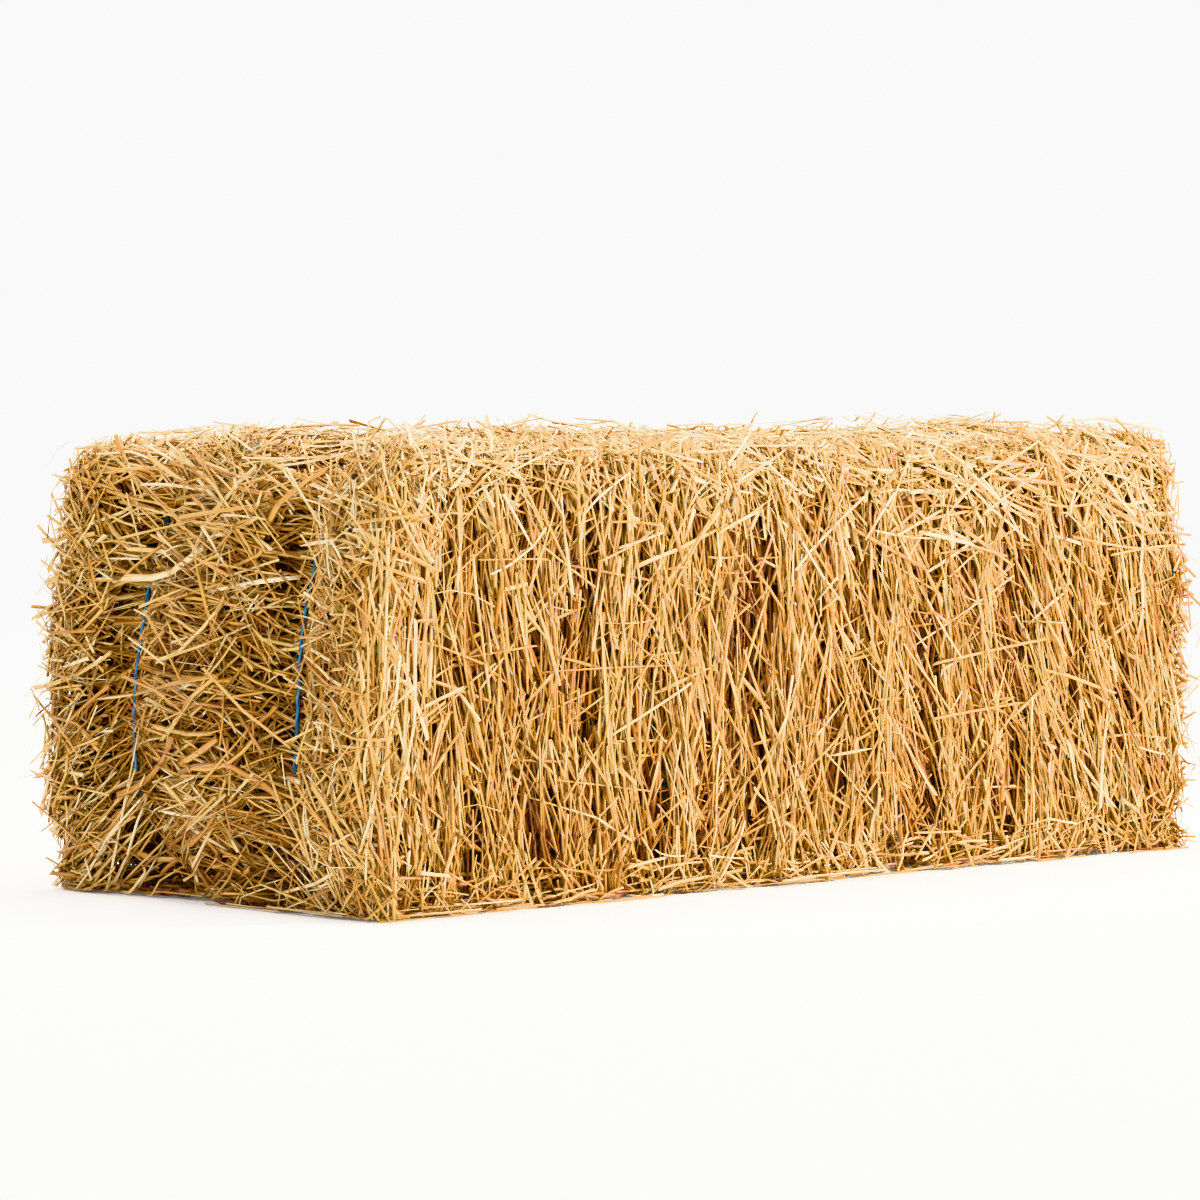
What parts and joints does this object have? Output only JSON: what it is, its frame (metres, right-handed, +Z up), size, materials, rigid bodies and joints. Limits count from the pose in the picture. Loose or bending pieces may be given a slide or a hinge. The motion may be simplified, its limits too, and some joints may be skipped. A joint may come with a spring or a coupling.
{
  "type": "straw bale",
  "caption": "Small rectangular bale of pressed golden straw, tied lengthwise with two loops of blue baling twine, for bedding, mulch or rustic decoration.",
  "frame": {"origin": "on the ground under the middle of the bale", "axes": "+X along the bale's length, +Y across it, +Z up; the twines run lengthwise over its top, ends and bottom"},
  "size_m": [0.99, 0.414, 0.3703],
  "materials": {
    "straw": "dry straw, satin",
    "twine": "twisted polypropylene film, satin"
  },
  "bodies": {
    "root": {"flake_01": "straw", "flake_02": "straw", "flake_03": "straw", "flake_04": "straw", "flake_05": "straw", "flake_06": "straw", "flake_07": "straw", "flake_08": "straw", "flake_09": "straw", "flake_10": "straw", "flake_11": "straw", "flake_12": "straw", "flake_13": "straw", "flake_14": "straw", "twine_front": "twine", "twine_back": "twine"}
  },
  "joints": []
}
